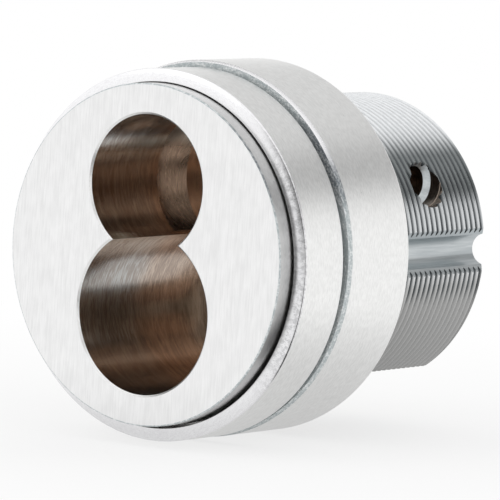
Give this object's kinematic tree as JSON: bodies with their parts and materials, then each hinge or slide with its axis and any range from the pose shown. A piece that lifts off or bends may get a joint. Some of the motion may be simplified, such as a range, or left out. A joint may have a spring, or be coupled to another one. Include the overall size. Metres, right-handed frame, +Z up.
{
  "type": "mortise cylinder",
  "caption": "Satin chrome mortise cylinder housing with a figure-8 core cavity, cup ring, blocking ring, fine-threaded body and rear cam.",
  "frame": {"origin": "on the cylinder's axis, in the plane where the blocking ring's rear face seats on the door", "axes": "+Y along the cylinder's axis into the door, -Y out of the key face, +Z up through the core cavity's smaller lobe, +X to the right as the user sees the key face"},
  "size_m": [0.0367, 0.0388, 0.0353],
  "materials": {
    "satin_chrome": "satin brushed",
    "plated_steel": "bright zinc plated",
    "spring_steel": "dark oiled"
  },
  "bodies": {
    "housing": {"cylinder_housing": "satin_chrome", "ring_spring": "spring_steel", "thrust_washer": "spring_steel", "throw_retaining_ring": "spring_steel"},
    "cup_ring": {"compression_ring": "satin_chrome"},
    "spacer_ring": {"blocking_ring": "satin_chrome"},
    "throw_and_cam": {"throw_member": "plated_steel", "throw_pin_left": "plated_steel", "throw_pin_right": "plated_steel", "cam": "plated_steel", "cam_screw_upper": "plated_steel", "cam_screw_lower": "plated_steel"}
  },
  "joints": [
    {"name": "cup_ring_slide", "type": "slide", "parent": "housing", "child": "cup_ring", "axis": [0, -1, 0], "range_m": [0, 0.0015], "stiffness_N_per_m": 2000, "springref_m": -0.0005, "deforming": ["ring_spring"]},
    {"name": "blocking_ring_slide", "type": "slide", "parent": "housing", "child": "spacer_ring", "axis": [0, 1, 0], "range_m": [0, 0.0174]},
    {"name": "cam_turn", "type": "hinge", "parent": "housing", "child": "throw_and_cam", "pos_m": [0, 0.0147, -0.00541], "axis": [0, 1, 0], "continuous": true}
  ]
}
